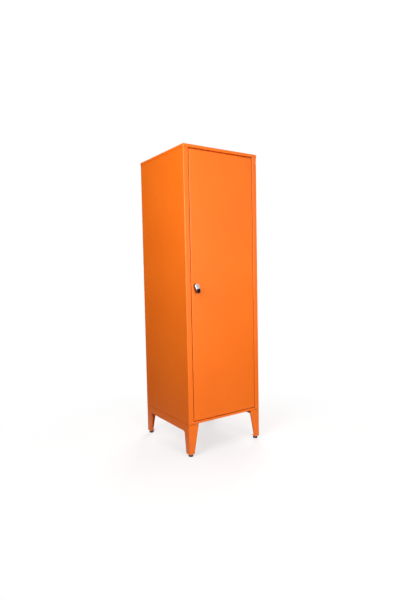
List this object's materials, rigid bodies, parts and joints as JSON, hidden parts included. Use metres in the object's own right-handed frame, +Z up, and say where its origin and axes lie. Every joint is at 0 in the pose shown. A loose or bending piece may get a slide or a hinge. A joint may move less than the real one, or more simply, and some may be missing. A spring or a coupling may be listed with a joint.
{
  "type": "metal office cabinet",
  "caption": "Tall narrow steel cabinet on tapered legs, with one flush hinged door, a chrome turn knob, adjustable shelves inside and levelling feet.",
  "frame": {"origin": "on the floor under the middle of the outer box, knob included", "axes": "+Z up, -Y out of the door's front, +X to the right of someone facing the door"},
  "size_m": [0.403, 0.4214, 1.35],
  "materials": {
    "orange_paint": "satin powder coat, orange",
    "zinc_steel": "zinc plated",
    "knob_chrome": "polished chrome",
    "black_plastic": "moulded black",
    "bush_nylon": "brown nylon",
    "bumper_rubber": "soft black"
  },
  "bodies": {
    "cabinet": {"left_side_panel": "orange_paint", "right_side_panel": "orange_paint", "back_panel": "orange_paint", "top_panel": "orange_paint", "top_front_rail": "orange_paint", "bottom_panel": "orange_paint", "left_leg_frame": "orange_paint", "right_leg_frame": "orange_paint", "shelf_lower": "orange_paint", "shelf_middle": "orange_paint", "shelf_upper": "orange_paint", "foot_plate_front_left": "orange_paint", "foot_plate_front_right": "orange_paint", "foot_plate_rear_left": "orange_paint", "foot_plate_rear_right": "orange_paint", "upright_left_front": "orange_paint", "upright_right_front": "orange_paint", "upright_left_rear": "orange_paint", "upright_right_rear": "orange_paint", "leg_bolts": "zinc_steel", "leg_nuts": "zinc_steel", "shelf_clips_lower": "zinc_steel", "shelf_clips_middle": "zinc_steel", "shelf_clips_upper": "zinc_steel", "foot_nut_front_left": "zinc_steel", "foot_nut_front_right": "zinc_steel", "foot_nut_rear_left": "zinc_steel", "foot_nut_rear_right": "zinc_steel", "upper_hinge_bush": "bush_nylon", "lower_hinge_bush": "bush_nylon", "door_bumpers": "bumper_rubber"},
    "door": {"door_panel": "orange_paint", "door_stiffener": "orange_paint", "upper_pivot_plate": "zinc_steel", "lower_pivot_plate": "zinc_steel", "upper_hinge_pin": "zinc_steel", "lower_hinge_pin": "zinc_steel", "lock_barrel": "knob_chrome", "lock_nut": "zinc_steel"},
    "knob": {"turn_knob": "knob_chrome", "lock_cam": "zinc_steel", "cam_screw": "zinc_steel"},
    "foot_front_left": {"foot_pad_front_left": "black_plastic", "foot_stud_front_left": "zinc_steel"},
    "foot_front_right": {"foot_pad_front_right": "black_plastic", "foot_stud_front_right": "zinc_steel"},
    "foot_rear_left": {"foot_pad_rear_left": "black_plastic", "foot_stud_rear_left": "zinc_steel"},
    "foot_rear_right": {"foot_pad_rear_right": "black_plastic", "foot_stud_rear_right": "zinc_steel"}
  },
  "joints": [
    {"name": "door_swing", "type": "hinge", "parent": "cabinet", "child": "door", "pos_m": [0.1635, -0.18355, 0.745], "axis": [0, 0, 1], "range_deg": [0, 115]},
    {"name": "knob_turn", "type": "hinge", "parent": "door", "child": "knob", "pos_m": [-0.151, -0.19075, 0.7385], "axis": [0, 1, 0], "range_deg": [0, 90]},
    {"name": "foot_front_left_screw", "type": "slide", "parent": "cabinet", "child": "foot_front_left", "axis": [0, 0, -1], "range_m": [0, 0.01]},
    {"name": "foot_front_right_screw", "type": "slide", "parent": "cabinet", "child": "foot_front_right", "axis": [0, 0, -1], "range_m": [0, 0.01]},
    {"name": "foot_rear_left_screw", "type": "slide", "parent": "cabinet", "child": "foot_rear_left", "axis": [0, 0, -1], "range_m": [0, 0.01]},
    {"name": "foot_rear_right_screw", "type": "slide", "parent": "cabinet", "child": "foot_rear_right", "axis": [0, 0, -1], "range_m": [0, 0.01]}
  ]
}
